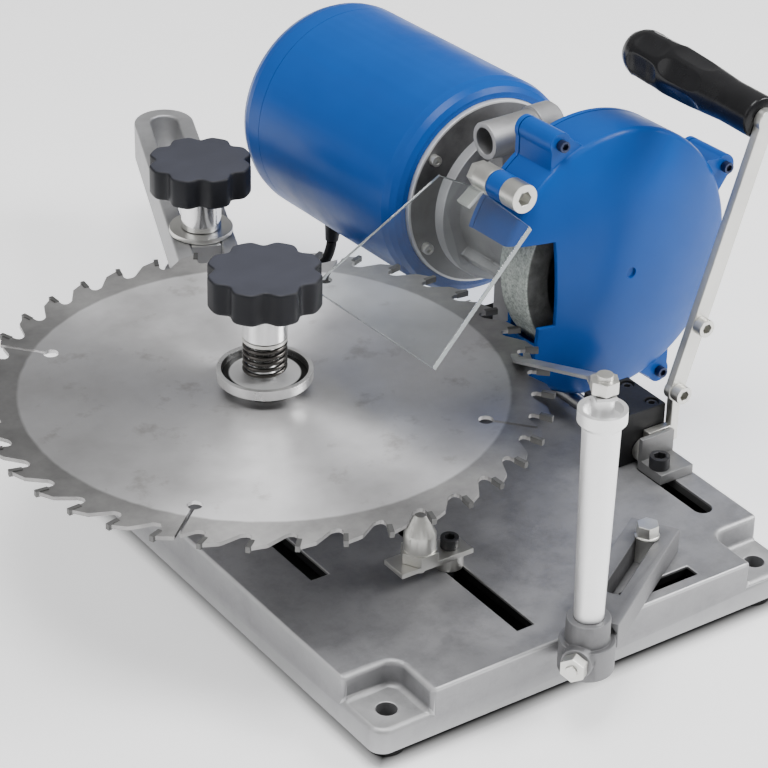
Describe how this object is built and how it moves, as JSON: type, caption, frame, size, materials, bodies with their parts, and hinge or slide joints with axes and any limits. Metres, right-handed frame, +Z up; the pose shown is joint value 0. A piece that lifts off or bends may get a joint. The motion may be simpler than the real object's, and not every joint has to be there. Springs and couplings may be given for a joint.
{
  "type": "circular saw blade sharpener",
  "caption": "Bench sharpener for circular saw blades: slotted base, blade arm with cone clamp, index finger, tilting motor head with guarded cup wheel and clear shield.",
  "frame": {"origin": "on the floor, under the centre of the four bench bolt holes", "axes": "+Z up, +X to the side of the grinding head, +Y to the back along the motor"},
  "size_m": [0.4378, 0.5761, 0.2365],
  "materials": {
    "cast_grey": "sand cast, satin",
    "machined": "machined",
    "zinc": "zinc plated",
    "steel": "ground",
    "bright": "polished",
    "blade": "ground disc",
    "carbide": "ground",
    "blue": "gloss",
    "black_plastic": "moulded",
    "black_steel": "black oxide",
    "abrasive": "bonded grit",
    "clear": "clear sheet",
    "black_rubber": "matte"
  },
  "bodies": {
    "base": {"base_plate": "cast_grey", "rubber_feet": "black_rubber", "pivot_stud": "bright", "hinge_blocks": "black_steel", "block_screws": "black_steel", "hinge_bracket": "cast_grey", "bracket_screw": "black_steel", "bracket_bolt": "zinc", "mains_cord": "black_rubber", "cord_coil": "black_rubber", "plug": "black_plastic"},
    "swing": {"swing_slider": "machined", "arm_washer": "zinc"},
    "arm": {"blade_arm": "cast_grey", "blade_post": "bright", "blade_seat": "machined", "clamp_spring": "black_steel"},
    "arm_lock": {"arm_lock_hub": "bright", "arm_lock_knob": "black_plastic"},
    "blade": {"saw_blade": "blade", "carbide_tips": "carbide"},
    "cone": {"clamp_cone": "machined"},
    "clamp_collar": {"spring_washer": "zinc"},
    "clamp_handle": {"clamp_hub": "bright", "clamp_knob": "black_plastic"},
    "stop": {"stop_plate": "zinc", "stop_pin": "zinc", "stop_screw": "black_steel", "stop_spacer": "zinc"},
    "bracket": {"finger_bracket": "cast_grey", "bracket_slider": "zinc", "post_clamp_bolt": "zinc"},
    "post": {"finger_post": "bright", "finger_bolt": "zinc"},
    "finger": {"tooth_finger": "steel"},
    "head": {"hinge_shaft": "steel", "head_casting": "cast_grey", "guard_back": "blue", "guard_cover": "blue", "guard_screws": "zinc", "motor_flange": "cast_grey", "flange_screws": "zinc", "motor_housing": "blue", "motor_end_cap": "blue", "stator": "steel", "bearings": "steel", "head_lever": "zinc", "lever_screws": "zinc", "grip": "black_plastic", "shield_screw": "zinc", "cable_gland": "black_plastic"},
    "spindle": {"motor_shaft": "steel", "rotor": "steel", "cooling_fan": "black_plastic", "grinding_wheel": "abrasive", "wheel_flanges": "zinc", "wheel_nut": "zinc"},
    "shield": {"eye_shield": "clear", "shield_clip": "zinc"}
  },
  "joints": [
    {"name": "arm_swing", "type": "hinge", "parent": "base", "child": "swing", "pos_m": [0.00974, 0.25, 0.066], "axis": [0, 0, 1], "range_deg": [-15, 0]},
    {"name": "arm_slide", "type": "slide", "parent": "swing", "child": "arm", "axis": [0.3811, 0.9245, 0], "range_m": [-0.04, 0]},
    {"name": "arm_lock_turn", "type": "hinge", "parent": "base", "child": "arm_lock", "pos_m": [0.00974, 0.25, 0.116], "axis": [0, 0, 1], "range_deg": [0, 180]},
    {"name": "blade_index", "type": "hinge", "parent": "arm", "child": "blade", "pos_m": [-0.07104, 0.054, 0.097], "axis": [0, 0, 1], "continuous": true},
    {"name": "cone_lift", "type": "slide", "parent": "arm", "child": "cone", "axis": [0, 0, 1], "range_m": [0, 0.005], "stiffness_N_per_m": 600, "springref_m": -0.015, "deforming": ["clamp_spring"]},
    {"name": "clamp_lift", "type": "slide", "parent": "arm", "child": "clamp_collar", "axis": [0, 0, 1], "range_m": [0, 0.007], "deforming": ["clamp_spring"]},
    {"name": "clamp_turn", "type": "hinge", "parent": "clamp_collar", "child": "clamp_handle", "pos_m": [-0.07104, 0.054, 0.147], "axis": [0, 0, 1], "range_deg": [0, 1441]},
    {"name": "stop_slide", "type": "slide", "parent": "base", "child": "stop", "axis": [0, 1, 0], "range_m": [-0.055, 0.03]},
    {"name": "bracket_swing", "type": "hinge", "parent": "base", "child": "bracket", "pos_m": [0.055, -0.108, 0.036], "axis": [0, 0, 1], "range_deg": [0, 20]},
    {"name": "post_lift", "type": "slide", "parent": "bracket", "child": "post", "axis": [0, 0, 1], "range_m": [0, 0.02]},
    {"name": "finger_swing", "type": "hinge", "parent": "post", "child": "finger", "pos_m": [-0.01878, -0.1541, 0.181], "axis": [0, 0, 1], "range_deg": [0, 12]},
    {"name": "head_swing", "type": "hinge", "parent": "base", "child": "head", "pos_m": [0.113, 0, 0.044], "axis": [0, 1, 0], "range_deg": [0, 25], "deforming": ["mains_cord"]},
    {"name": "spindle_turn", "type": "hinge", "parent": "head", "child": "spindle", "pos_m": [0.1325, 0.023, 0.125], "axis": [0, 0.9986, -0.0523], "continuous": true},
    {"name": "shield_tilt", "type": "hinge", "parent": "head", "child": "shield", "pos_m": [0.068, 0.02597, 0.18172], "axis": [0, 0.9986, -0.0523], "range_deg": [0, 60]}
  ],
  "couplings": [
    {"joint": "clamp_turn", "follows": "clamp_lift", "rad_per_m": 3590.4}
  ]
}
